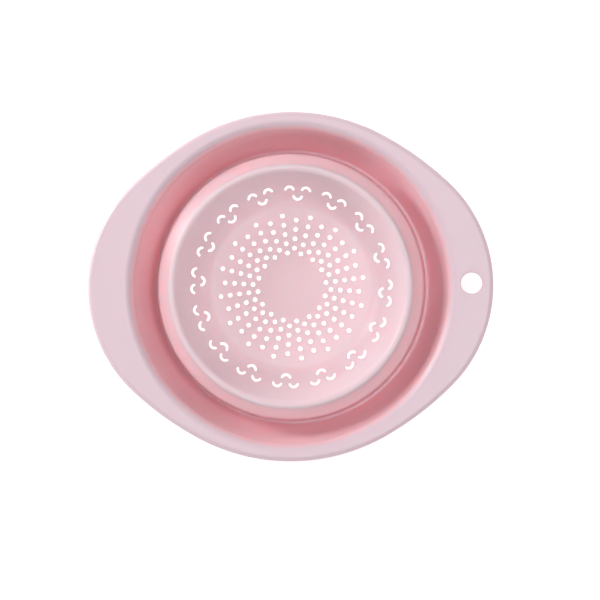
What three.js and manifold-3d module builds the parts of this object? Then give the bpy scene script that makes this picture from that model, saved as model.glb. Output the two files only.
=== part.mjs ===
// A collapsible colander, folded flat: an oval carrying rim, a soft folding wall and a perforated
// basket. Millimetres, +Z up. The origin is on the ground under the basket's centre, and +X points
// to the handle that has the hanging hole.
import * as THREE from "three";
import { mergeVertices } from "three/addons/utils/BufferGeometryUtils.js";
import Module from "manifold-3d";

// Overall heights, folded.
const RIM_TOP = 42;
const LIP_TOP = 41;
const GROOVE_FLOOR = 7;
const FOOT_HEIGHT = 2.5;

// Oval rim: two end arcs, two side arcs and four flatter flanks, each tangent to the next.
const RIM_LENGTH = 270;
const RIM_WIDTH = 232.8;
const END_RADIUS = 94.3;
const SIDE_RADIUS = 129;
const FLANK_RADIUS = 205;
const EDGE_ROUND = 2;
const SKIRT_DEPTH = 6;
const RIM_WALL = 2.2;
const HANGING_HOLE_X = 120.4;
const HANGING_HOLE_RADIUS = 7;

// Round mouth of the rim: one round leads from the flat flange to the slope of the soft wall, and
// the seam between hard and soft lies part of the way along it.
const MOUTH_RADIUS = 111.5;
const COLLAR_ROUND = 7;
const SEAM_TURN = THREE.MathUtils.degToRad(38);
const COLLAR_LAP = 1;

// Soft wall and its fold.
const SOFT_WALL = 2;
const CREASE_RADIUS = 91.9;
const FOLD_FOOT_RADIUS = 90.3;
const FOLD_TOP_RADIUS = 89;
const FOLD_WALL = 1.6;
const FOLD_TOP = 35.5;
const HOOK_REACH = 2.4;
const BEAD_OUTER_RADIUS = 87;
const BEAD_DEPTH = 4;

// Basket, from its flat floor up to the round crest of its lip, which leans out to the bead. The
// two pulls are the handle lengths of the curve between floor and crest.
const BASKET_WALL = 2;
const FLOOR_RADIUS = 53;
const FLOOR_PULL = 8;
const WALL_PULL = 17;
const CREST_RADIUS = 79.2;
const CREST_ROUND = 3.2;
const WALL_SLOPE = THREE.MathUtils.degToRad(65);
const LIP_SLOPE = THREE.MathUtils.degToRad(40);
const FOOT_RADIUS = 52;
const FOOT_WALL = 3;
const FOOT_GAPS = 8;
const FOOT_GAP_WIDTH = 8;

// Drain holes in the floor and smile-shaped slots in the lower wall, in equal sectors.
const SECTORS = 16;
const SECTOR_ANGLE = (2 * Math.PI) / SECTORS;
const PATTERN_TURN = THREE.MathUtils.degToRad(-4.75);
const HOLE_RINGS = 9;
const FIRST_RING_RADIUS = 23.1;
const RING_PITCH = 3.15;
const HOLE_RADIUS = 1.4;
const MOUTH_SLOT_RADIUS = 59.2;
const EYE_SLOT_RADIUS = 67.2;
const EYE_SLOT_SPREAD = THREE.MathUtils.degToRad(4.9);
const SLOT_WIDTH = 1.5;
const SLOT_BEND_RADIUS = 3;
const SLOT_HALF_SWEEP = THREE.MathUtils.degToRad(64.5);

// Fineness of the facets, and the play between pieces that touch.
const TURNED_SIDES = 48;
const ARC_STEPS = 5;
const HOLE_SIDES = 6;
const GAP = 0.3;
const WELD = 1e-3;

const floorTop = FOOT_HEIGHT + BASKET_WALL;
const skirtBottom = RIM_TOP - SKIRT_DEPTH;
const vec = (r, z) => new THREE.Vector2(r, z);
const fromAngle = (angle) => vec(Math.cos(angle), Math.sin(angle));
const collarCentre = vec(MOUTH_RADIUS, RIM_TOP - COLLAR_ROUND);
const crestCentre = vec(CREST_RADIUS, LIP_TOP - CREST_ROUND);
const lipAngle = Math.PI / 2 - LIP_SLOPE;
const lipEdge = crestCentre.clone().addScaledVector(fromAngle(lipAngle), CREST_ROUND);

const wasm = await Module();
wasm.setup();

function solidOf(geometry) {
  const bare = geometry.clone();
  bare.deleteAttribute("normal");
  bare.deleteAttribute("uv");
  const merged = mergeVertices(bare, WELD);
  const mesh = new wasm.Mesh({
    numProp: 3,
    vertProperties: merged.attributes.position.array,
    triVerts: new Uint32Array(merged.index.array),
  });
  return new wasm.Manifold(mesh);
}

function geometryOf(solid) {
  const mesh = solid.getMesh();
  const geometry = new THREE.BufferGeometry();
  geometry.setAttribute("position", new THREE.BufferAttribute(mesh.vertProperties, 3));
  geometry.setIndex(new THREE.BufferAttribute(mesh.triVerts, 1));
  geometry.computeVertexNormals();
  return geometry;
}

// A closed (radius, height) outline, listed anticlockwise, turned about the Z axis.
function turned(outline) {
  const closed = outline[0].x > 0 ? [...outline, outline[0]] : outline;
  return new THREE.LatheGeometry(closed, TURNED_SIDES).rotateX(Math.PI / 2);
}

function disc(radius, bottom, top) {
  const height = top - bottom;
  const geometry = new THREE.CylinderGeometry(radius, radius, height, TURNED_SIDES);
  return geometry.rotateX(Math.PI / 2).translate(0, 0, bottom + height / 2);
}

// Points along a circular arc in the (radius, height) plane.
function arc(centre, radius, from, to, steps = ARC_STEPS) {
  return Array.from({ length: steps + 1 }, (_, i) => {
    const angle = from + ((to - from) * i) / steps;
    return vec(centre.x + radius * Math.cos(angle), centre.y + radius * Math.sin(angle));
  });
}

// Centre of the flank arc that touches the end arc and the side arc from outside.
function flankCentre(endCentre, sideCentre) {
  const toEnd = FLANK_RADIUS - END_RADIUS;
  const toSide = FLANK_RADIUS - SIDE_RADIUS;
  const between = sideCentre.clone().sub(endCentre);
  const distance = between.length();
  const along = (toEnd ** 2 - toSide ** 2 + distance ** 2) / (2 * distance);
  const across = Math.sqrt(toEnd ** 2 - along ** 2);
  const direction = between.divideScalar(distance);
  return endCentre
    .clone()
    .addScaledVector(direction, along)
    .addScaledVector(vec(-direction.y, direction.x), across);
}

// The rim's oval outline, moved inwards by an inset.
function rimOutline(inset) {
  const end = vec(RIM_LENGTH / 2 - END_RADIUS, 0);
  const side = vec(0, RIM_WIDTH / 2 - SIDE_RADIUS);
  const flank = flankCentre(end, side);
  const endSweep = end.clone().sub(flank).angle();
  const flankSweep = side.clone().sub(flank).angle();
  const shape = new THREE.Shape();
  for (const half of [1, -1]) {
    const turn = half > 0 ? 0 : Math.PI;
    const back = turn + Math.PI;
    const near = [half * flank.x, half * flank.y];
    const far = [-half * flank.x, half * flank.y];
    shape.absarc(half * end.x, 0, END_RADIUS - inset, turn - endSweep, turn + endSweep);
    shape.absarc(...near, FLANK_RADIUS - inset, turn + endSweep, turn + flankSweep);
    shape.absarc(0, half * side.y, SIDE_RADIUS - inset, turn + flankSweep, back - flankSweep);
    shape.absarc(...far, FLANK_RADIUS - inset, back - flankSweep, back - endSweep);
  }
  return shape;
}

function rimSlab(inset, bottom, top, round = 0) {
  const geometry = new THREE.ExtrudeGeometry(rimOutline(inset + round), {
    depth: top - bottom - 2 * round,
    curveSegments: ARC_STEPS,
    bevelEnabled: round > 0,
    bevelSize: round,
    bevelThickness: round,
    bevelSegments: 3,
  });
  return solidOf(geometry.translate(0, 0, bottom + round));
}

// Turned-down collar between the flat rim and the seam.
function collar() {
  const top = Math.PI / 2;
  const seam = top + SEAM_TURN;
  const upper = arc(collarCentre, COLLAR_ROUND, top, seam);
  const lower = arc(collarCentre, COLLAR_ROUND - RIM_WALL, seam, top);
  const outer = MOUTH_RADIUS + COLLAR_LAP;
  return solidOf(turned([vec(outer, RIM_TOP), ...upper, ...lower, vec(outer, RIM_TOP - RIM_WALL)]));
}

// Hard oval rim: flat flange, rounded outer edge, short skirt, collar and hanging hole.
function carryingRim() {
  const hole = new THREE.CylinderGeometry(
    HANGING_HOLE_RADIUS,
    HANGING_HOLE_RADIUS,
    RIM_TOP,
    TURNED_SIDES / 2,
  );
  hole.rotateX(Math.PI / 2).translate(HANGING_HOLE_X, 0, RIM_TOP);
  return rimSlab(0, 0, RIM_TOP, EDGE_ROUND)
    .subtract(rimSlab(-SKIRT_DEPTH, -EDGE_ROUND, skirtBottom))
    .subtract(rimSlab(RIM_WALL, 0, RIM_TOP - RIM_WALL))
    .subtract(solidOf(disc(MOUTH_RADIUS, 0, RIM_TOP + GAP)))
    .add(collar())
    .subtract(solidOf(hole));
}

// Angle, on the collar's round, of the tangent that runs down to the crease.
function wallTurn() {
  const toCrease = collarCentre.clone().sub(vec(CREASE_RADIUS, GROOVE_FLOOR));
  const tilt = Math.asin(COLLAR_ROUND / toCrease.length());
  return toCrease.angle() + tilt;
}

// Soft wall that carries on round from the rim's seam and slopes in to the crease.
function hangingWall() {
  const seam = Math.PI / 2 + SEAM_TURN + GAP / COLLAR_ROUND;
  const turn = wallTurn();
  const end = Math.PI / 2 + turn;
  const slope = fromAngle(turn);
  const outward = fromAngle(turn - Math.PI / 2).multiplyScalar(SOFT_WALL);
  const foot = vec(CREASE_RADIUS, GROOVE_FLOOR).addScaledVector(slope, SOFT_WALL / 2);
  return turned([
    ...arc(collarCentre, COLLAR_ROUND, seam, end, 3),
    foot,
    foot.clone().add(outward),
    ...arc(collarCentre, COLLAR_ROUND - SOFT_WALL, end, seam, 3),
  ]);
}

// Soft band that folds up between the crease and the basket's lip, with the crease's round hook.
function foldBand() {
  const hookCentre = vec(FOLD_FOOT_RADIUS + HOOK_REACH / 2, GROOVE_FLOOR + HOOK_REACH / 2);
  const inside = arc(hookCentre, HOOK_REACH / 2 - GAP, Math.PI, 1.8 * Math.PI);
  const outside = arc(hookCentre, HOOK_REACH / 2 + FOLD_WALL, 1.8 * Math.PI, Math.PI);
  return turned([
    vec(FOLD_TOP_RADIUS, FOLD_TOP),
    vec(FOLD_TOP_RADIUS - FOLD_WALL, FOLD_TOP),
    ...outside.reverse(),
    ...inside.reverse(),
  ]);
}

// Soft bead moulded on the outer edge of the basket's lip, which goes on down the lip's slope.
function lipBead() {
  const inner = lipEdge.x + GAP;
  const drop = (BEAD_OUTER_RADIUS - inner) * Math.tan(LIP_SLOPE);
  return turned([
    vec(inner, lipEdge.y),
    vec(inner, lipEdge.y - drop - BEAD_DEPTH / 2),
    vec(BEAD_OUTER_RADIUS, lipEdge.y - drop - BEAD_DEPTH / 2),
    vec(BEAD_OUTER_RADIUS, lipEdge.y - drop),
  ]);
}

// Surface of the bowl from the floor's edge up to the crest, moved outwards by an offset.
function bowlSurface(offset) {
  const wallAngle = Math.PI / 2 + WALL_SLOPE;
  const top = crestCentre.clone().addScaledVector(fromAngle(wallAngle), CREST_ROUND - offset);
  const floor = vec(FLOOR_RADIUS, floorTop - offset);
  const curve = new THREE.CubicBezierCurve(
    floor,
    floor.clone().add(vec(FLOOR_PULL + offset / 2, 0)),
    top.clone().addScaledVector(fromAngle(WALL_SLOPE), -WALL_PULL),
    top,
  );
  return curve.getPoints(ARC_STEPS);
}

function basketShell() {
  const wallAngle = Math.PI / 2 + WALL_SLOPE;
  const outline = [
    vec(0, floorTop),
    ...bowlSurface(0),
    ...arc(crestCentre, CREST_ROUND, wallAngle, lipAngle).slice(1),
    ...arc(crestCentre, CREST_ROUND - BASKET_WALL, lipAngle, wallAngle).slice(0, -1),
    ...bowlSurface(BASKET_WALL).reverse(),
    vec(0, FOOT_HEIGHT),
  ];
  return solidOf(turned(outline.reverse()));
}

// Low ring under the floor, broken by gaps that let water run out.
function footRing() {
  const outer = disc(FOOT_RADIUS + FOOT_WALL / 2, 0, floorTop - BASKET_WALL / 2);
  const inner = disc(FOOT_RADIUS - FOOT_WALL / 2, -GAP, FOOT_HEIGHT);
  let ring = solidOf(outer).subtract(solidOf(inner));
  for (let i = 0; i < FOOT_GAPS; i += 1) {
    const gap = new THREE.BoxGeometry(4 * FOOT_WALL, FOOT_GAP_WIDTH, 2 * FOOT_HEIGHT);
    gap.translate(FOOT_RADIUS, 0, 0).rotateZ(((i + 0.5) * 2 * Math.PI) / FOOT_GAPS);
    ring = ring.subtract(solidOf(gap));
  }
  return ring;
}

// Places a tool that cuts straight down through the basket at a radius and an angle.
function placed(tool, radius, angle) {
  return solidOf(tool.clone().translate(radius, 0, -GAP).rotateZ(angle));
}

function drillTool() {
  const tool = new THREE.CylinderGeometry(HOLE_RADIUS, HOLE_RADIUS, LIP_TOP, HOLE_SIDES);
  return tool.rotateX(Math.PI / 2).translate(0, 0, LIP_TOP / 2);
}

// A bent slot whose bulge faces outwards (side 1) or inwards (side -1).
function slotTool(side) {
  const middle = side > 0 ? 0 : Math.PI;
  const start = middle - SLOT_HALF_SWEEP;
  const end = middle + SLOT_HALF_SWEEP;
  const shape = new THREE.Shape();
  shape.absarc(-side * SLOT_BEND_RADIUS, 0, SLOT_BEND_RADIUS + SLOT_WIDTH / 2, start, end, false);
  shape.absarc(-side * SLOT_BEND_RADIUS, 0, SLOT_BEND_RADIUS - SLOT_WIDTH / 2, end, start, true);
  return new THREE.ExtrudeGeometry(shape, {
    depth: LIP_TOP,
    curveSegments: 2,
    bevelEnabled: false,
  });
}

function strainerBasket() {
  const drill = drillTool();
  const mouthSlot = slotTool(-1);
  const eyeSlot = slotTool(1);
  let basket = basketShell().add(footRing());
  for (let sector = 0; sector < SECTORS; sector += 1) {
    const angle = PATTERN_TURN + sector * SECTOR_ANGLE;
    for (let ring = 0; ring < HOLE_RINGS; ring += 1) {
      const radius = FIRST_RING_RADIUS + ring * RING_PITCH;
      const stagger = (((ring + 1) % 2) * SECTOR_ANGLE) / 2;
      basket = basket.subtract(placed(drill, radius, angle + stagger));
    }
    basket = basket.subtract(placed(mouthSlot, MOUTH_SLOT_RADIUS, angle));
    for (const side of [-1, 1]) {
      const turn = angle + side * EYE_SLOT_SPREAD;
      basket = basket.subtract(placed(eyeSlot, EYE_SLOT_RADIUS, turn));
    }
  }
  return basket;
}

const hardPink = new THREE.MeshStandardMaterial({ color: 0xe8ccd5, roughness: 0.45, metalness: 0 });
const basketPink = new THREE.MeshStandardMaterial({ color: 0xeacfd8, roughness: 0.5, metalness: 0 });
const softPink = new THREE.MeshStandardMaterial({ color: 0xe3afb9, roughness: 0.65, metalness: 0 });

const colander = new THREE.Group();

function addPiece(name, geometry, material) {
  const mesh = new THREE.Mesh(geometry, material);
  mesh.name = name;
  colander.add(mesh);
}

addPiece("carrying_rim", geometryOf(carryingRim()), hardPink);
addPiece("hanging_wall", hangingWall(), softPink);
addPiece("fold_band", foldBand(), softPink);
addPiece("lip_bead", lipBead(), softPink);
addPiece("strainer_basket", geometryOf(strainerBasket()), basketPink);

export default colander;
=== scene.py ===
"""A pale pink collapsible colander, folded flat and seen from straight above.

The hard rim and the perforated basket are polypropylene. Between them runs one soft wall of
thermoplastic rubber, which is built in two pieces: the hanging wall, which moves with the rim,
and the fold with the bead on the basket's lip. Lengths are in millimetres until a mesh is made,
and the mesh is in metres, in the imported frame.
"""

import math

import bpy
import numpy as np
from mathutils import Matrix, Vector
from mathutils.geometry import delaunay_2d_cdt


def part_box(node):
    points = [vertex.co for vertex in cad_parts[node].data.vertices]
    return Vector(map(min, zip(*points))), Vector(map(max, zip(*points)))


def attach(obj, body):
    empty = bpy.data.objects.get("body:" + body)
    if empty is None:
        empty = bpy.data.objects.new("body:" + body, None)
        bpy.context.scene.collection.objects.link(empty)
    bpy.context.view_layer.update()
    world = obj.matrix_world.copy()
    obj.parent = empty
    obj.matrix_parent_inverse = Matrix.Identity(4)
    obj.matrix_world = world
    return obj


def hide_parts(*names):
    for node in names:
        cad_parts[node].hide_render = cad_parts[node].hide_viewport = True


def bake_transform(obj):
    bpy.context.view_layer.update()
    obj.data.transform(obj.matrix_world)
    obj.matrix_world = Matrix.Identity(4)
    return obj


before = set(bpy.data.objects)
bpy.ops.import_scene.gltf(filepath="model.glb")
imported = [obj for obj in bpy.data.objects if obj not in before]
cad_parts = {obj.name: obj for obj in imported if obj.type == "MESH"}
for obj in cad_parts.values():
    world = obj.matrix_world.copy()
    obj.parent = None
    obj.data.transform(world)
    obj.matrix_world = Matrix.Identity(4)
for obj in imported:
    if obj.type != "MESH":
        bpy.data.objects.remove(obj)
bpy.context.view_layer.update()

MM = 0.001


def cad_heights(node):
    """(lowest z, highest z) of a CAD node, in millimetres."""
    low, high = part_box(node)
    return low.z / MM, high.z / MM


# Places that come from the frame.
RIM_LOW, RIM_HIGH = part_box("carrying_rim")
RIM_HALF_LENGTH = RIM_HIGH.x / MM
RIM_HALF_WIDTH = RIM_HIGH.y / MM
RIM_TOP = RIM_HIGH.z / MM
SKIRT_BOTTOM = RIM_LOW.z / MM
_, LIP_TOP = cad_heights("strainer_basket")
FOLD_BOTTOM, _ = cad_heights("fold_band")

# Oval rim: end, flank and side arcs, each tangent to the next.
END_RADIUS = 94.3
SIDE_RADIUS = 129.0
FLANK_RADIUS = 205.0
EDGE_WIDTH = 3.2
EDGE_DROP = 2.4
EDGE_STEPS = 8
RIM_WALL = 2.2
SKIRT_FILLET = 0.9
SHELF_INSET = 4.0
SHELF_EDGE = 0.4
SHELF_SPACING = 4.0
HANGING_HOLE_X = 120.4
HANGING_HOLE_RADIUS = 7.0
HANGING_HOLE_EDGE = 0.7
HANGING_HOLE_SIDES = 72

# Round mouth and the soft wall below it.
MOUTH_RADIUS = 111.5
COLLAR_ROUND = 7.0
SEAM_TURN = math.radians(38)
SOFT_WALL = 2.0
FOLD_WALL = SOFT_WALL * 0.8
CREASE_RADIUS = 91.2
CREASE_ROUND = 1.1
GROOVE_FLOOR = FOLD_BOTTOM + SOFT_WALL - 0.4
STEP_RADIUS = 104.2
STEP_HALF_WIDTH = 0.15
STEP_HEIGHT = 0.35
BEAD_EDGE_RADIUS = 88.8
BEAD_EDGE_ROUND = 4.2

# Basket.
BASKET_WALL = 2.0
FLOOR_TOP = 4.5
FLOOR_RADIUS = 53.0
FLOOR_PULL = 8.0
WALL_PULL = 17.0
CREST_RADIUS = 79.2
CREST_ROUND = 3.2
WALL_SLOPE = math.radians(65)
LIP_SLOPE = math.radians(40)
PERFORATED_RADIUS = 70.5
PERFORATED_SPACING = 1.3
BOWL_STEPS = 160
PLAIN_BOWL_STRIDE = 4
SHORTEST_STEP = 0.2
FOOT_RADIUS = 52.0
FOOT_WALL = 3.0
FOOT_GAPS = 8
FOOT_GAP_WIDTH = 8.0
FOOT_EDGE = 0.6
FOOT_OVERLAP = 0.3
FOOT_BAR_RINGS = 25

# Drain holes and smile-shaped slots, in equal sectors.
SECTORS = 16
SECTOR_ANGLE = 2 * math.pi / SECTORS
PATTERN_TURN = math.radians(-4.75)
HOLE_RINGS = 9
FIRST_RING_RADIUS = 23.1
RING_PITCH = 3.15
HOLE_RADIUS = 1.4
MOUTH_SLOT_RADIUS = 59.2
EYE_SLOT_RADIUS = 67.2
EYE_SLOT_SPREAD = math.radians(4.9)
SLOT_WIDTH = 1.5
SLOT_BEND_RADIUS = 3.0
SLOT_HALF_SWEEP = math.radians(64.5)
CUT_EDGE = 0.3
DRAIN_HOLE_SIDES = 24

# The pale floor: a hair below the foot, and glowing with painted light, more under the basket than
# around it, so that the basket's shadow is washed out.
FLOOR_GAP = 0.05
FLOOR_HALF_WIDTH = 3000.0
GLOW_UNDER = 0.84
GLOW_AROUND = 0.48
GLOW_INNER_RADIUS = 71.0
GLOW_OUTER_RADIUS = 79.0

# Plastics. The scales are in waves per metre.
MOTTLE_SCALE = 28
GLOSS_SCALE = 160
GRAIN_SCALE = 2600
GRAIN_DEPTH = 0.05
SOAK_BY_COLOUR = (1.0, 0.32, 0.28)
PLASTIC_IOR = 1.49

# Camera. The view width is at the height of the rim's top.
LENS = 250
SENSOR_WIDTH = 36
VIEW_WIDTH = 399.0
VIEW_CENTRE = (6.24, -9.06)
TILT_BACK = math.radians(0.3)
TILT_SIDE = math.radians(1.6)
ROLL = math.radians(-1.1)

# Fineness.
TURNED_SIDES = 288
ROUND_STEPS = 4
SMOOTH_ANGLE = math.radians(40)


# ---------------------------------------------------------------- outlines in (radius, height)


def arc(centre, radius, start, end, steps):
    """Points along a circular arc, both ends included."""
    angles = np.linspace(start, end, steps + 1)
    return [
        (centre[0] + radius * math.cos(a), centre[1] + radius * math.sin(a)) for a in angles
    ]


def line(start, end, steps):
    """Points along a straight stretch, without its first point."""
    return [
        tuple(np.array(start) + (np.array(end) - np.array(start)) * i / steps)
        for i in range(1, steps + 1)
    ]


def bezier(a, b, c, d, steps):
    """Points along a cubic curve, both ends included."""
    t = np.linspace(0, 1, steps + 1)[:, None]
    a, b, c, d = (np.array(p, float) for p in (a, b, c, d))
    points = (1 - t) ** 3 * a + 3 * (1 - t) ** 2 * t * b + 3 * (1 - t) * t**2 * c + t**3 * d
    return [tuple(p) for p in points]


def thickened(skin, thickness):
    """A closed outline: a skin's points, then the same skin moved aside, in reverse.

    A positive thickness lies to the right of the way along the skin, and a negative one left.
    """
    points = np.array(skin)
    along = np.gradient(points, axis=0)
    along /= np.linalg.norm(along, axis=1)[:, None]
    right = np.stack([along[:, 1], -along[:, 0]], axis=1)
    return [tuple(p) for p in points] + [tuple(p) for p in (points + right * thickness)[::-1]]


# ---------------------------------------------------------------- meshes


def new_piece(name, vertices, faces, material, body, slot, replaced=()):
    """A smooth-shaded mesh piece from points in millimetres, riding on a body."""
    mesh = bpy.data.meshes.new(name)
    mesh.from_pydata((np.array(vertices) * MM).tolist(), [], faces)
    mesh.validate()
    for polygon in mesh.polygons:
        polygon.use_smooth = True
    mesh.set_sharp_from_angle(angle=SMOOTH_ANGLE)
    mesh.materials.append(material)
    piece = bpy.data.objects.new(name, mesh)
    bpy.context.scene.collection.objects.link(piece)
    if body:
        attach(piece, body)
    if replaced:
        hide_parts(*replaced)
    return piece


def ring_points(radius, height):
    """One turned ring of points."""
    angles = np.arange(TURNED_SIDES) * 2 * math.pi / TURNED_SIDES
    return [(radius * math.cos(a), radius * math.sin(a), height) for a in angles]


def strip(lower, upper):
    """Quads between two rings of vertex numbers, facing right of the way from lower to upper."""
    n = len(lower)
    return [(lower[i], lower[(i + 1) % n], upper[(i + 1) % n], upper[i]) for i in range(n)]


def turned_ring(outline):
    """(vertices, faces) of a closed outline turned about Z. The outline runs anticlockwise."""
    vertices = []
    for radius, height in outline:
        vertices += ring_points(radius, height)
    rings = np.arange(len(vertices)).reshape(len(outline), TURNED_SIDES).tolist()
    faces = []
    for i, ring in enumerate(rings):
        faces += strip(ring, rings[(i + 1) % len(rings)])
    return vertices, faces


class Shell:
    """Collects the vertices and faces of one closed mesh."""

    def __init__(self):
        self.vertices = []
        self.faces = []

    def add(self, points):
        """Adds points and returns their numbers."""
        start = len(self.vertices)
        self.vertices += [tuple(map(float, p)) for p in points]
        return list(range(start, len(self.vertices)))

    def join(self, ring, points):
        """Adds a ring of points, a strip from the last ring to it, and returns its numbers."""
        following = self.add(points)
        self.faces += strip(ring, following)
        return following


def flat_field(boundary, openings, inner, spacing):
    """Triangulates the plane region inside boundary and outside inner and the openings.

    boundary, inner and openings are closed loops of (x, y). Returns the points, the triangles and
    the loops as lists of point numbers, in the order boundary, inner (if any), then openings.
    """
    loops = [boundary] + ([inner] if inner else []) + openings
    points = [p for loop in loops for p in loop]
    edges, numbered, start = [], [], 0
    for loop in loops:
        numbers = list(range(start, start + len(loop)))
        edges += list(zip(numbers, numbers[1:] + numbers[:1]))
        numbered.append(numbers)
        start += len(loop)
    points += fill_points(boundary, openings + ([inner] if inner else []), spacing)
    result = delaunay_2d_cdt([Vector(p) for p in points], edges, [], 0, 1e-5)
    placed, triangles, originals = result[0], result[2], result[3]
    number_of = {o: i for i, group in enumerate(originals) for o in group}
    loops_out = [[number_of[n] for n in loop] for loop in numbered]
    shapes = [np.array(loop) for loop in openings + ([inner] if inner else [])]
    edge = np.array(boundary)
    centres = np.array([np.mean([placed[i] for i in t], axis=0) for t in triangles])
    keep = inside(centres, edge)
    for shape in shapes:
        keep &= ~inside(centres, shape)
    kept = [tuple(t) for t, ok in zip(triangles, keep) if ok]
    return [tuple(p) for p in placed], kept, loops_out


def inside(points, polygon):
    """Which points lie inside a closed polygon."""
    x, y = points[:, 0], points[:, 1]
    found = np.zeros(len(points), bool)
    low, high = polygon.min(0), polygon.max(0)
    near = (x > low[0]) & (x < high[0]) & (y > low[1]) & (y < high[1])
    xs, ys = x[near], y[near]
    within = np.zeros(len(xs), bool)
    for (x0, y0), (x1, y1) in zip(polygon, np.roll(polygon, -1, axis=0)):
        crosses = (y0 > ys) != (y1 > ys)
        if crosses.any():
            at = x0 + (ys - y0) * (x1 - x0) / (y1 - y0 + 1e-30)
            within ^= crosses & (xs < at)
    found[near] = within
    return found


def fill_points(boundary, holes, spacing):
    """A staggered grid of points inside the boundary and clear of every loop."""
    edge = np.array(boundary)
    low, high = edge.min(0), edge.max(0)
    rows = []
    step_y = spacing * math.sqrt(3) / 2
    for j, y in enumerate(np.arange(low[1], high[1], step_y)):
        xs = np.arange(low[0] + (j % 2) * spacing / 2, high[0], spacing)
        rows.append(np.stack([xs, np.full_like(xs, y)], axis=1))
    grid = np.concatenate(rows)
    keep = inside(grid, edge)
    for hole in holes:
        keep &= ~inside(grid, np.array(hole))
    grid = grid[keep]
    loops = np.concatenate([edge] + [np.array(h) for h in holes])
    clear = np.ones(len(grid), bool)
    for start in range(0, len(grid), 2000):
        part = grid[start : start + 2000]
        distance = np.sqrt(((part[:, None, :] - loops[None, :, :]) ** 2).sum(2)).min(1)
        clear[start : start + 2000] = distance > spacing * 0.55
    return [tuple(p) for p in grid[clear]]


# ---------------------------------------------------------------- hard rim


def rim_outline(inset):
    """Points of the oval outline moved inwards. Equal numbers of points have equal normals."""
    end = np.array([RIM_HALF_LENGTH - END_RADIUS, 0.0])
    side = np.array([0.0, RIM_HALF_WIDTH - SIDE_RADIUS])
    to_end, to_side = FLANK_RADIUS - END_RADIUS, FLANK_RADIUS - SIDE_RADIUS
    between = side - end
    distance = np.linalg.norm(between)
    # The flank's centre is where circles about the other two centres cross.
    along = (to_end**2 - to_side**2 + distance**2) / (2 * distance)
    across = math.sqrt(to_end**2 - along**2)
    direction = between / distance
    flank = end + direction * along + np.array([-direction[1], direction[0]]) * across
    end_sweep = math.atan2(*(end - flank)[::-1])
    side_sweep = math.atan2(*(side - flank)[::-1])
    per_quarter = TURNED_SIDES // 4
    quarter = []
    for angle in np.arange(per_quarter) * (math.pi / 2) / per_quarter:
        if angle < end_sweep:
            centre, radius = end, END_RADIUS
        elif angle < side_sweep:
            centre, radius = flank, FLANK_RADIUS
        else:
            centre, radius = side, SIDE_RADIUS
        normal = np.array([math.cos(angle), math.sin(angle)])
        quarter.append(centre + (radius - inset) * normal)
    first = np.array(quarter)
    last = np.array([[0.0, side[1] + SIDE_RADIUS - inset]])
    second = np.concatenate([last, first[:0:-1] * [-1, 1]])
    half = np.concatenate([first, second])
    return np.concatenate([half, -half])


def at_height(outline, height):
    return [(x, y, height) for x, y in outline]


def circle(radius, sides, centre=(0.0, 0.0)):
    angles = np.arange(sides) * 2 * math.pi / sides
    return [(centre[0] + radius * math.cos(a), centre[1] + radius * math.sin(a)) for a in angles]


def cut_wall(shell, top_ring, bottom_ring, wide, narrow, top_height, bottom_height):
    """Walls of a hole between two surfaces, with a small round at both mouths.

    wide and narrow are the hole's loop at the surface and at its waist, and the two heights are
    functions of (x, y).
    """
    wide, narrow = np.array(wide), np.array(narrow)
    edge = np.linalg.norm(wide - narrow, axis=1).mean()
    turns = np.linspace(0, math.pi / 2, ROUND_STEPS)[1:]
    levels = []
    for turn in turns:
        loop = narrow + (wide - narrow) * (1 - math.sin(turn))
        levels.append((loop, edge * (1 - math.cos(turn))))
    ring = top_ring
    for loop, drop in levels:
        ring = shell.join(ring, [(x, y, top_height(x, y) - drop) for x, y in loop])
    for loop, drop in levels[::-1]:
        ring = shell.join(ring, [(x, y, bottom_height(x, y) + drop) for x, y in loop])
    shell.faces += strip(ring, bottom_ring)


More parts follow.
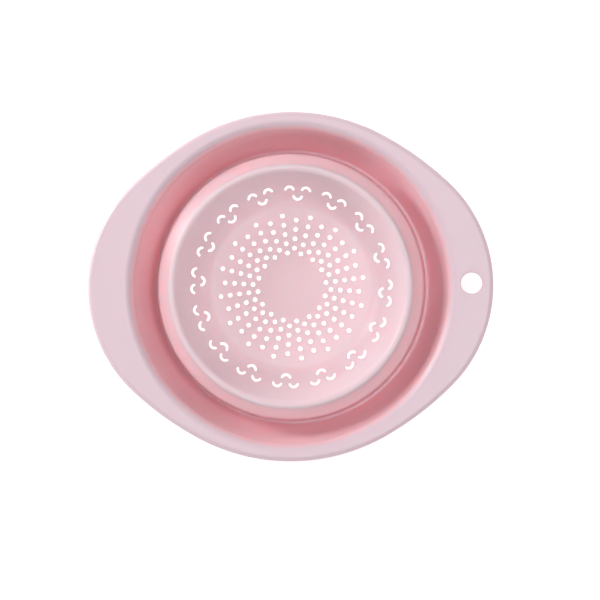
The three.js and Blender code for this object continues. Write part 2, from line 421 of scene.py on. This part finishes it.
def rim_shell(material):
    """Flange, rounded edge, skirt, collar and hanging hole, as one closed mesh."""
    underside = RIM_TOP - RIM_WALL
    shelf = [tuple(p) for p in rim_outline(SHELF_INSET)]
    mouth = circle(MOUTH_RADIUS, TURNED_SIDES)
    hole_centre = (HANGING_HOLE_X, 0.0)
    wide = circle(HANGING_HOLE_RADIUS + HANGING_HOLE_EDGE, HANGING_HOLE_SIDES, hole_centre)
    narrow = circle(HANGING_HOLE_RADIUS, HANGING_HOLE_SIDES, hole_centre)
    points, triangles, loops = flat_field(shelf, [wide], mouth, SHELF_SPACING)
    shell = Shell()
    top = shell.add([(x, y, RIM_TOP) for x, y in points])
    bottom = shell.add([(x, y, underside) for x, y in points])
    shell.faces += [(top[a], top[b], top[c]) for a, b, c in triangles]
    shell.faces += [(bottom[c], bottom[b], bottom[a]) for a, b, c in triangles]

    def ring_of(numbers, loop):
        return [numbers[i] for i in loop]

    outer_loop, mouth_loop, hole_loop = loops
    cut_wall(
        shell,
        ring_of(top, hole_loop),
        ring_of(bottom, hole_loop),
        wide,
        narrow,
        lambda x, y: RIM_TOP,
        lambda x, y: underside,
    )
    # Over the rounded edge, down the skirt, round its lower edge and back up inside it.
    ring = ring_of(top, outer_loop)[::-1]
    edge = [(EDGE_WIDTH + SHELF_EDGE, RIM_TOP)]
    for turn in np.linspace(0, math.pi / 2, EDGE_STEPS + 1):
        inset = EDGE_WIDTH * (1 - math.sin(turn))
        edge.append((inset, RIM_TOP - EDGE_DROP * (1 - math.cos(turn))))
    half = RIM_WALL / 2
    edge += [(0.0, SKIRT_BOTTOM + half)]
    for turn in np.linspace(0, math.pi, 7)[1:]:
        edge.append((half - half * math.cos(turn), SKIRT_BOTTOM + half - half * math.sin(turn)))
    for turn in np.linspace(0, math.pi / 2, 4):
        inset = RIM_WALL + SKIRT_FILLET * (1 - math.cos(turn))
        edge.append((inset, underside - SKIRT_FILLET * (1 - math.sin(turn))))
    for inset, height in edge:
        outline = rim_outline(inset)[::-1]
        ring = shell.join(ring, at_height(outline, height))
    shell.faces += strip(ring, ring_of(bottom, outer_loop)[::-1])
    # Over the collar to the seam and back underneath.
    ring = ring_of(top, mouth_loop)
    centre = (MOUTH_RADIUS, RIM_TOP - COLLAR_ROUND)
    upright = math.pi / 2
    seam = upright + SEAM_TURN
    over = arc(centre, COLLAR_ROUND, upright, seam, 8)[1:]
    under = arc(centre, COLLAR_ROUND - RIM_WALL, seam, upright, 8)[:-1]
    for radius, height in over + under:
        ring = shell.join(ring, ring_points(radius, height))
    shell.faces += strip(ring, ring_of(bottom, mouth_loop))
    return new_piece(
        "rim_shell", shell.vertices, shell.faces, material, "rim", "rim_plastic", ["carrying_rim"]
    )


# ---------------------------------------------------------------- soft wall


def wall_slope():
    """Slope angle of the straight wall that touches the collar's round and the crease's."""
    centre = np.array([MOUTH_RADIUS, RIM_TOP - COLLAR_ROUND])
    foot = np.array([CREASE_RADIUS + CREASE_ROUND, GROOVE_FLOOR + CREASE_ROUND])
    away = centre - foot
    tilt = math.asin((COLLAR_ROUND + CREASE_ROUND) / np.linalg.norm(away))
    return math.atan2(away[1], away[0]) + tilt


def wall_skin():
    """Groove side of the hanging wall, from the seam over a small step to the crease's middle."""
    slope = wall_slope()
    collar = (MOUTH_RADIUS, RIM_TOP - COLLAR_ROUND)
    crease = (CREASE_RADIUS, GROOVE_FLOOR + CREASE_ROUND)
    seam = math.pi / 2 + SEAM_TURN
    upper = arc(collar, COLLAR_ROUND, seam, math.pi / 2 + slope, 8)
    lower = arc(crease, CREASE_ROUND, slope - math.pi / 2, -math.pi / 2, 6)
    outside, within = STEP_RADIUS + STEP_HALF_WIDTH, STEP_RADIUS - STEP_HALF_WIDTH
    above = (outside, line_height(upper[-1], lower[0], outside))
    below = (
        within + math.sin(slope) * STEP_HEIGHT,
        line_height(upper[-1], lower[0], within) - math.cos(slope) * STEP_HEIGHT,
    )
    points = upper + line(upper[-1], above, 3) + line(above, below, 2)
    return points + line(below, lower[0], 24) + lower[1:]


def line_height(start, end, radius):
    """Height at a radius on the line between two points."""
    share = (radius - start[0]) / (end[0] - start[0])
    return start[1] + (end[1] - start[1]) * share


def bead_skin():
    """Top of the soft bead, from the hard lip's edge down its slope and round to the fold."""
    turn = math.pi / 2 - LIP_SLOPE
    lip = (
        CREST_RADIUS + CREST_ROUND * math.cos(turn),
        LIP_TOP - CREST_ROUND * (1 - math.sin(turn)),
    )
    reach = BEAD_EDGE_RADIUS - BEAD_EDGE_ROUND
    drop = (reach + BEAD_EDGE_ROUND * math.cos(turn) - lip[0]) * math.tan(LIP_SLOPE)
    centre = (reach, lip[1] - drop - BEAD_EDGE_ROUND * math.sin(turn))
    upper = arc(centre, BEAD_EDGE_ROUND, turn, 0.0, 8)
    return [lip] + line(lip, upper[0], 8) + upper[1:]


def fold_skin():
    """Groove side of the fold, from the middle of the crease up to the bead."""
    crease = (CREASE_RADIUS, GROOVE_FLOOR + CREASE_ROUND)
    top = bead_skin()[-1]
    away = np.array(top) - np.array(crease)
    slope = math.atan2(away[1], away[0]) + math.asin(CREASE_ROUND / np.linalg.norm(away))
    lower = arc(crease, CREASE_ROUND, -math.pi / 2, slope - 1.5 * math.pi, 8)
    return lower + line(lower[-1], top, 28)


def soft_pieces(material):
    """The soft wall: the stretch that hangs from the rim, and the fold with the lip's bead."""
    hanging = turned_ring(thickened(wall_skin(), -SOFT_WALL))
    new_piece("hanging_wall_skin", *hanging, material, "rim", "soft_wall", ["hanging_wall"])
    skin = fold_skin() + bead_skin()[-2::-1]
    fold = turned_ring(thickened(skin, -FOLD_WALL))
    replaced = ["fold_band", "lip_bead"]
    piece = new_piece("fold_skin", *fold, material, None, "soft_wall", replaced)
    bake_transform(piece)


# ---------------------------------------------------------------- basket


def bowl_curve(offset):
    """The bowl's inner surface from the floor's edge to the crest, moved outwards."""
    crest = np.array([CREST_RADIUS, LIP_TOP - CREST_ROUND])
    wall_angle = math.pi / 2 + WALL_SLOPE
    top = crest + (CREST_ROUND - offset) * np.array([math.cos(wall_angle), math.sin(wall_angle)])
    floor = np.array([FLOOR_RADIUS, FLOOR_TOP - offset])
    pull = np.array([math.cos(WALL_SLOPE), math.sin(WALL_SLOPE)]) * WALL_PULL
    return bezier(floor, floor + [FLOOR_PULL + offset / 2, 0], top - pull, top, BOWL_STEPS)


class BasketHeights:
    """Heights of the basket's two surfaces as functions of the place in plan."""

    def __init__(self):
        self.inner = np.array([(0.0, FLOOR_TOP)] + bowl_curve(0))
        self.outer = np.array([(0.0, FLOOR_TOP - BASKET_WALL)] + bowl_curve(BASKET_WALL))

    def top(self, x, y):
        return float(np.interp(math.hypot(x, y), *self.inner.T))

    def bottom(self, x, y):
        return float(np.interp(math.hypot(x, y), *self.outer.T))


def slot_loop(grow, side):
    """Outline of a bent slot with round ends. Side 1 bulges outwards and side -1 inwards."""
    half = SLOT_WIDTH / 2 + grow
    middle = 0.0 if side > 0 else math.pi
    centre = (-side * SLOT_BEND_RADIUS, 0.0)
    start, end = middle - SLOT_HALF_SWEEP, middle + SLOT_HALF_SWEEP
    tips = [
        (centre[0] + SLOT_BEND_RADIUS * math.cos(a), SLOT_BEND_RADIUS * math.sin(a))
        for a in (start, end)
    ]
    outer = arc(centre, SLOT_BEND_RADIUS + half, start, end, 12)
    inner = arc(centre, SLOT_BEND_RADIUS - half, end, start, 8)
    far_tip = arc(tips[1], half, end, end + math.pi, 6)[1:-1]
    near_tip = arc(tips[0], half, start + math.pi, start + 2 * math.pi, 6)[1:-1]
    return outer + far_tip + inner + near_tip


def placed(loop, radius, angle):
    """A loop moved out along X and turned about the origin."""
    c, s = math.cos(angle), math.sin(angle)
    return [((x + radius) * c - y * s, (x + radius) * s + y * c) for x, y in loop]


def basket_cuts():
    """(wide loop, narrow loop) of every drain hole and slot."""
    cuts = []
    drill = [circle(HOLE_RADIUS + grow, DRAIN_HOLE_SIDES) for grow in (CUT_EDGE, 0.0)]
    mouth_slot = [slot_loop(grow, -1) for grow in (CUT_EDGE, 0.0)]
    eye_slot = [slot_loop(grow, 1) for grow in (CUT_EDGE, 0.0)]
    for sector in range(SECTORS):
        angle = PATTERN_TURN + sector * SECTOR_ANGLE
        for ring in range(HOLE_RINGS):
            turn = angle + ((ring + 1) % 2) * SECTOR_ANGLE / 2
            radius = FIRST_RING_RADIUS + ring * RING_PITCH
            cuts.append([placed(loop, radius, turn) for loop in drill])
        cuts.append([placed(loop, MOUTH_SLOT_RADIUS, angle) for loop in mouth_slot])
        for side in (-1, 1):
            turn = angle + side * EYE_SLOT_SPREAD
            cuts.append([placed(loop, EYE_SLOT_RADIUS, turn) for loop in eye_slot])
    return cuts


def basket_shell(material):
    """Floor, bowl wall and rolled lip with every drain hole and slot, as one closed mesh."""
    heights = BasketHeights()
    cuts = basket_cuts()
    edge = circle(PERFORATED_RADIUS, TURNED_SIDES)
    wides = [wide for wide, _ in cuts]
    points, triangles, loops = flat_field(edge, wides, None, PERFORATED_SPACING)
    shell = Shell()
    top = shell.add([(x, y, heights.top(x, y)) for x, y in points])
    bottom = shell.add([(x, y, heights.bottom(x, y)) for x, y in points])
    shell.faces += [(top[a], top[b], top[c]) for a, b, c in triangles]
    shell.faces += [(bottom[c], bottom[b], bottom[a]) for a, b, c in triangles]
    for (wide, narrow), loop in zip(cuts, loops[1:]):
        upper = [top[i] for i in loop]
        lower = [bottom[i] for i in loop]
        cut_wall(shell, upper, lower, wide, narrow, heights.top, heights.bottom)
    # Up the wall, over the crest to the lip's edge, and back down outside.
    inner, outer = (
        [p for p in bowl_curve(offset)[::PLAIN_BOWL_STRIDE] if p[0] > PERFORATED_RADIUS + SHORTEST_STEP]
        for offset in (0, BASKET_WALL)
    )
    crest = (CREST_RADIUS, LIP_TOP - CREST_ROUND)
    wall_angle, lip_angle = math.pi / 2 + WALL_SLOPE, math.pi / 2 - LIP_SLOPE
    over = arc(crest, CREST_ROUND, wall_angle, lip_angle, 16)[1:]
    under = arc(crest, CREST_ROUND - BASKET_WALL, lip_angle, wall_angle, 10)[:-1]
    ring = [top[i] for i in loops[0]][::-1]
    for radius, height in inner + over + under + outer[::-1]:
        ring = shell.join(ring, ring_points(radius, height)[::-1])
    shell.faces += strip(ring, [bottom[i] for i in loops[0]][::-1])
    return new_piece(
        "basket_shell",
        shell.vertices,
        shell.faces,
        material,
        "strainer",
        "basket_plastic",
        ["strainer_basket"],
    )


def foot_ring(material):
    """The broken ring under the floor: bars bent round the axis, with gaps for water."""
    half_gap = FOOT_GAP_WIDTH / 2 / FOOT_RADIUS
    pitch = 2 * math.pi / FOOT_GAPS
    top = FLOOR_TOP - BASKET_WALL + FOOT_OVERLAP
    half = FOOT_WALL / 2
    section = [(-half, top), (-half, FOOT_EDGE)]
    section += arc((-half + FOOT_EDGE, FOOT_EDGE), FOOT_EDGE, math.pi, 1.5 * math.pi, 3)[1:]
    section += arc((half - FOOT_EDGE, FOOT_EDGE), FOOT_EDGE, 1.5 * math.pi, 2 * math.pi, 3)
    section += [(half, top)]
    shell = Shell()
    for bar in range(FOOT_GAPS):
        angles = np.linspace(half_gap, pitch - half_gap, FOOT_BAR_RINGS) + (bar + 0.5) * pitch
        rings = []
        for angle in angles:
            c, s = math.cos(angle), math.sin(angle)
            radii = [(FOOT_RADIUS + r, z) for r, z in section]
            rings.append(shell.add([(r * c, r * s, z) for r, z in radii]))
        for near, far in zip(rings, rings[1:]):
            shell.faces += strip(far, near)
        shell.faces += [tuple(rings[0]), tuple(rings[-1][::-1])]
    return new_piece(
        "foot_ring", shell.vertices, shell.faces, material, "strainer", "basket_plastic"
    )


# ---------------------------------------------------------------- materials


class Graph:
    """A small helper that adds and links shader nodes."""

    def __init__(self, name):
        self.material = bpy.data.materials.new(name)
        self.material.use_nodes = True
        self.tree = self.material.node_tree
        self.shader = self.tree.nodes["Principled BSDF"]
        self.place = self.add("ShaderNodeTexCoord").outputs["Object"]

    def add(self, kind, **settings):
        node = self.tree.nodes.new(kind)
        for key, value in settings.items():
            setattr(node, key, value)
        return node

    def link(self, source, target):
        self.tree.links.new(source, target)

    def noise(self, scale, detail):
        node = self.add("ShaderNodeTexNoise")
        node.inputs["Scale"].default_value = scale
        node.inputs["Detail"].default_value = detail
        self.link(self.place, node.inputs["Vector"])
        return node.outputs["Fac"]

    def between(self, factor, low, high):
        """A colour that runs from low to high with a factor."""
        node = self.add("ShaderNodeMix", data_type="RGBA")
        node.inputs["A"].default_value = (*low, 1)
        node.inputs["B"].default_value = (*high, 1)
        self.link(factor, node.inputs["Factor"])
        return node.outputs["Result"]

    def ranged(self, factor, low, high):
        """A number that runs from low to high with a factor."""
        node = self.add("ShaderNodeMapRange")
        node.inputs["To Min"].default_value = low
        node.inputs["To Max"].default_value = high
        self.link(factor, node.inputs["Value"])
        return node.outputs["Result"]


def moulded(name, pale, deep, gloss, glow_depth, glow_share, grain):
    """A moulded plastic: faintly mottled colour, fine grain, and light that soaks in.

    pale and deep are the two base colours, gloss the lowest and highest roughness, glow_depth the
    depth in millimetres that red light reaches, glow_share how much of the light soaks in, and
    grain the strength of the fine bumps.
    """
    graph = Graph(name)
    shader = graph.shader
    mottle = graph.noise(MOTTLE_SCALE, 3)
    graph.link(graph.between(mottle, pale, deep), shader.inputs["Base Color"])
    graph.link(graph.ranged(graph.noise(GLOSS_SCALE, 4), *gloss), shader.inputs["Roughness"])
    bump = graph.add("ShaderNodeBump")
    bump.inputs["Strength"].default_value = grain
    bump.inputs["Distance"].default_value = GRAIN_DEPTH * MM
    graph.link(graph.noise(GRAIN_SCALE, 2), bump.inputs["Height"])
    graph.link(bump.outputs["Normal"], shader.inputs["Normal"])
    shader.inputs["Subsurface Weight"].default_value = glow_share
    shader.inputs["Subsurface Radius"].default_value = SOAK_BY_COLOUR
    shader.inputs["Subsurface Scale"].default_value = glow_depth * MM
    shader.inputs["IOR"].default_value = PLASTIC_IOR
    return graph.material


# ---------------------------------------------------------------- stage, light and camera


def stage_floor():
    """A pale floor that glows with painted light, more under the basket than around it, so that the
    drain holes look white.
    """
    mesh = bpy.data.meshes.new("floor")
    half = FLOOR_HALF_WIDTH * MM
    low = -FLOOR_GAP * MM
    corners = [(-half, -half, low), (half, -half, low), (half, half, low), (-half, half, low)]
    mesh.from_pydata(corners, [], [(0, 1, 2, 3)])
    floor = bpy.data.objects.new("floor", mesh)
    bpy.context.scene.collection.objects.link(floor)
    graph = Graph("floor_white_painted_glow")
    shader = graph.shader
    shader.inputs["Base Color"].default_value = (0.86, 0.86, 0.86, 1)
    shader.inputs["Roughness"].default_value = 0.9
    shader.inputs["Emission Color"].default_value = (1, 1, 1, 1)
    distance = graph.add("ShaderNodeVectorMath", operation="LENGTH")
    graph.link(graph.place, distance.inputs[0])
    # Painted glow: the emission is strongest under the basket, where the basket's shadow would fall.
    glow = graph.ranged(distance.outputs["Value"], GLOW_UNDER, GLOW_AROUND)
    glow.node.inputs["From Min"].default_value = GLOW_INNER_RADIUS * MM
    glow.node.inputs["From Max"].default_value = GLOW_OUTER_RADIUS * MM
    glow.node.interpolation_type = "SMOOTHSTEP"
    graph.link(glow, shader.inputs["Emission Strength"])
    mesh.materials.append(graph.material)


def soft_box(name, azimuth, elevation, distance, width, height, level):
    """A soft box that looks at the object, placed anticlockwise from +X and above the floor.

    level is how bright it makes a white matte surface that faces it, and 1 is white.
    """
    light = bpy.data.lights.new(name, "AREA")
    light.shape = "RECTANGLE"
    light.size = width
    light.size_y = height
    light.energy = level * (math.pi * distance) ** 2
    lamp = bpy.data.objects.new(name, light)
    bpy.context.scene.collection.objects.link(lamp)
    a, e = math.radians(azimuth), math.radians(elevation)
    back = Vector((math.cos(a) * math.cos(e), math.sin(a) * math.cos(e), math.sin(e)))
    lamp.location = back * distance
    lamp.rotation_mode = "QUATERNION"
    lamp.rotation_quaternion = (-back).to_track_quat("-Z", "Y")


def world_light(strength):
    world = bpy.data.worlds.new("studio")
    world.use_nodes = True
    background = world.node_tree.nodes["Background"]
    background.inputs["Color"].default_value = (1, 1, 1, 1)
    background.inputs["Strength"].default_value = strength
    bpy.context.scene.world = world


def main_camera():
    """A long lens above the object, tilted a little, with the rim a little up and left of centre."""
    data = bpy.data.cameras.new("main")
    data.lens = LENS
    data.sensor_width = SENSOR_WIDTH
    data.clip_end = 20
    camera = bpy.data.objects.new("main", data)
    bpy.context.scene.collection.objects.link(camera)
    distance = VIEW_WIDTH * MM * LENS / SENSOR_WIDTH
    tilt = Matrix.Rotation(TILT_SIDE, 4, "Y") @ Matrix.Rotation(TILT_BACK, 4, "X")
    roll = Matrix.Rotation(ROLL, 4, "Z")
    aim = Matrix.Translation(Vector((*VIEW_CENTRE, RIM_TOP)) * MM)
    camera.matrix_world = aim @ tilt @ roll @ Matrix.Translation((0, 0, distance))
    bpy.context.scene.camera = camera


# ---------------------------------------------------------------- the scene

main_camera()
world_light(0.03)
soft_box("key", 151.5, 17, 1.4, 0.27, 0.66, 0.70)
soft_box("overhead", 0, 80, 3.3, 2.0, 2.0, 0.60)
soft_box("right_fill", 50, 20, 1.8, 0.8, 0.6, 0.14)
soft_box("front_fill", 262, 20, 1.8, 0.8, 0.6, 0.18)
stage_floor()
bpy.context.scene.view_settings.view_transform = "Standard"

rim_plastic = moulded(
    "rim_plastic", (0.86, 0.66, 0.73), (0.84, 0.64, 0.71), (0.36, 0.44), 0.5, 0.2, 0.15
)
# The basket is the same polypropylene as the rim; its paler colour is painted light, making up for the
# shade that the bowl's walls cast inside it.
basket_plastic = moulded(
    "basket_plastic", (0.92, 0.73, 0.78), (0.90, 0.70, 0.75), (0.40, 0.48), 1.5, 0.5, 0.15
)
soft_rubber = moulded(
    "soft_rubber", (0.93, 0.62, 0.67), (0.91, 0.59, 0.64), (0.36, 0.44), 2.5, 0.7, 0.3
)

rim_shell(rim_plastic)
soft_pieces(soft_rubber)
basket_shell(basket_plastic)
foot_ring(basket_plastic)
